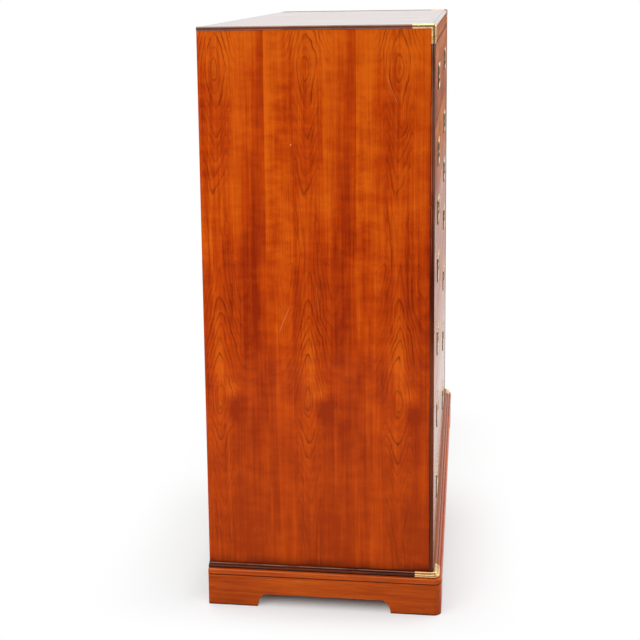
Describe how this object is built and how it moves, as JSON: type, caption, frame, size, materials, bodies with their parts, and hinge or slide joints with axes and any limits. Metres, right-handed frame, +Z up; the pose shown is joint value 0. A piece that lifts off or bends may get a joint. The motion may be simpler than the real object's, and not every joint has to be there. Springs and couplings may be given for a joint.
{
  "type": "campaign chest",
  "caption": "Tall campaign chest of full-width drawers with flush brass pulls, beaded edges, brass corners and a low bracket plinth.",
  "frame": {"origin": "on the floor, below the middle of the chest's whole width and depth", "axes": "+X to the chest's right seen from the front, +Y to its back, +Z up"},
  "size_m": [1.338, 0.512, 1.2711],
  "materials": {
    "veneer": "polished orange-red figured veneer",
    "front": "polished figured veneer",
    "bead": "polished dark wood",
    "plinth": "polished wood with the grain along it",
    "inner": "bare light wood",
    "board": "bare back board",
    "brass": "aged polished brass"
  },
  "bodies": {
    "case": {"top_panel": "veneer", "side_panel_left": "veneer", "side_panel_right": "veneer", "back_panel": "board", "bottom_panel": "inner", "top_rail": "front", "dust_panel_1": "inner", "dust_panel_2": "inner", "dust_panel_3": "inner", "dust_panel_4": "inner", "dust_panel_5": "inner", "dust_panel_6": "inner", "corner_bead_left": "bead", "corner_bead_right": "bead", "top_edge_bead": "bead", "base_bead": "bead", "plinth_cap": "plinth", "plinth_front": "plinth", "plinth_left": "plinth", "plinth_right": "plinth", "plinth_back": "inner", "corner_brass_top_left": "brass", "corner_brass_top_right": "brass", "corner_brass_base_left": "brass", "corner_brass_base_right": "brass"},
    "drawer_1": {"drawer_1": "front", "pull_plate_1_left": "brass", "pull_plate_1_right": "brass"},
    "pull_bail_1_left": {"pull_bail_1_left": "brass"},
    "pull_bail_1_right": {"pull_bail_1_right": "brass"},
    "drawer_2": {"drawer_2": "front", "pull_plate_2_left": "brass", "pull_plate_2_right": "brass"},
    "pull_bail_2_left": {"pull_bail_2_left": "brass"},
    "pull_bail_2_right": {"pull_bail_2_right": "brass"},
    "drawer_3": {"drawer_3": "front", "pull_plate_3_left": "brass", "pull_plate_3_right": "brass"},
    "pull_bail_3_left": {"pull_bail_3_left": "brass"},
    "pull_bail_3_right": {"pull_bail_3_right": "brass"},
    "drawer_4": {"drawer_4": "front", "pull_plate_4_left": "brass", "pull_plate_4_right": "brass"},
    "pull_bail_4_left": {"pull_bail_4_left": "brass"},
    "pull_bail_4_right": {"pull_bail_4_right": "brass"},
    "drawer_5": {"drawer_5": "front", "pull_plate_5_left": "brass", "pull_plate_5_right": "brass"},
    "pull_bail_5_left": {"pull_bail_5_left": "brass"},
    "pull_bail_5_right": {"pull_bail_5_right": "brass"},
    "drawer_6": {"drawer_6": "front", "pull_plate_6_left": "brass", "pull_plate_6_right": "brass"},
    "pull_bail_6_left": {"pull_bail_6_left": "brass"},
    "pull_bail_6_right": {"pull_bail_6_right": "brass"},
    "drawer_7": {"drawer_7": "front", "pull_plate_7_left": "brass", "pull_plate_7_right": "brass"},
    "pull_bail_7_left": {"pull_bail_7_left": "brass"},
    "pull_bail_7_right": {"pull_bail_7_right": "brass"}
  },
  "joints": [
    {"name": "drawer_1_slide", "type": "slide", "parent": "case", "child": "drawer_1", "axis": [0, -1, 0], "range_m": [0, 0.33]},
    {"name": "pull_bail_1_left_hinge", "type": "hinge", "parent": "drawer_1", "child": "pull_bail_1_left", "pos_m": [-0.325, -0.2346, 1.15696], "axis": [-1, 0, 0], "range_deg": [0, 95]},
    {"name": "pull_bail_1_right_hinge", "type": "hinge", "parent": "drawer_1", "child": "pull_bail_1_right", "pos_m": [0.325, -0.2346, 1.15696], "axis": [-1, 0, 0], "range_deg": [0, 95]},
    {"name": "drawer_2_slide", "type": "slide", "parent": "case", "child": "drawer_2", "axis": [0, -1, 0], "range_m": [0, 0.33]},
    {"name": "pull_bail_2_left_hinge", "type": "hinge", "parent": "drawer_2", "child": "pull_bail_2_left", "pos_m": [-0.325, -0.2346, 0.98388], "axis": [-1, 0, 0], "range_deg": [0, 95]},
    {"name": "pull_bail_2_right_hinge", "type": "hinge", "parent": "drawer_2", "child": "pull_bail_2_right", "pos_m": [0.325, -0.2346, 0.98388], "axis": [-1, 0, 0], "range_deg": [0, 95]},
    {"name": "drawer_3_slide", "type": "slide", "parent": "case", "child": "drawer_3", "axis": [0, -1, 0], "range_m": [0, 0.33]},
    {"name": "pull_bail_3_left_hinge", "type": "hinge", "parent": "drawer_3", "child": "pull_bail_3_left", "pos_m": [-0.325, -0.2346, 0.84933], "axis": [-1, 0, 0], "range_deg": [0, 95]},
    {"name": "pull_bail_3_right_hinge", "type": "hinge", "parent": "drawer_3", "child": "pull_bail_3_right", "pos_m": [0.325, -0.2346, 0.84933], "axis": [-1, 0, 0], "range_deg": [0, 95]},
    {"name": "drawer_4_slide", "type": "slide", "parent": "case", "child": "drawer_4", "axis": [0, -1, 0], "range_m": [0, 0.33]},
    {"name": "pull_bail_4_left_hinge", "type": "hinge", "parent": "drawer_4", "child": "pull_bail_4_left", "pos_m": [-0.325, -0.2346, 0.71479], "axis": [-1, 0, 0], "range_deg": [0, 95]},
    {"name": "pull_bail_4_right_hinge", "type": "hinge", "parent": "drawer_4", "child": "pull_bail_4_right", "pos_m": [0.325, -0.2346, 0.71479], "axis": [-1, 0, 0], "range_deg": [0, 95]},
    {"name": "drawer_5_slide", "type": "slide", "parent": "case", "child": "drawer_5", "axis": [0, -1, 0], "range_m": [0, 0.33]},
    {"name": "pull_bail_5_left_hinge", "type": "hinge", "parent": "drawer_5", "child": "pull_bail_5_left", "pos_m": [-0.325, -0.2346, 0.54171], "axis": [-1, 0, 0], "range_deg": [0, 95]},
    {"name": "pull_bail_5_right_hinge", "type": "hinge", "parent": "drawer_5", "child": "pull_bail_5_right", "pos_m": [0.325, -0.2346, 0.54171], "axis": [-1, 0, 0], "range_deg": [0, 95]},
    {"name": "drawer_6_slide", "type": "slide", "parent": "case", "child": "drawer_6", "axis": [0, -1, 0], "range_m": [0, 0.33]},
    {"name": "pull_bail_6_left_hinge", "type": "hinge", "parent": "drawer_6", "child": "pull_bail_6_left", "pos_m": [-0.325, -0.2346, 0.36862], "axis": [-1, 0, 0], "range_deg": [0, 95]},
    {"name": "pull_bail_6_right_hinge", "type": "hinge", "parent": "drawer_6", "child": "pull_bail_6_right", "pos_m": [0.325, -0.2346, 0.36862], "axis": [-1, 0, 0], "range_deg": [0, 95]},
    {"name": "drawer_7_slide", "type": "slide", "parent": "case", "child": "drawer_7", "axis": [0, -1, 0], "range_m": [0, 0.33]},
    {"name": "pull_bail_7_left_hinge", "type": "hinge", "parent": "drawer_7", "child": "pull_bail_7_left", "pos_m": [-0.325, -0.2346, 0.19554], "axis": [-1, 0, 0], "range_deg": [0, 95]},
    {"name": "pull_bail_7_right_hinge", "type": "hinge", "parent": "drawer_7", "child": "pull_bail_7_right", "pos_m": [0.325, -0.2346, 0.19554], "axis": [-1, 0, 0], "range_deg": [0, 95]}
  ]
}
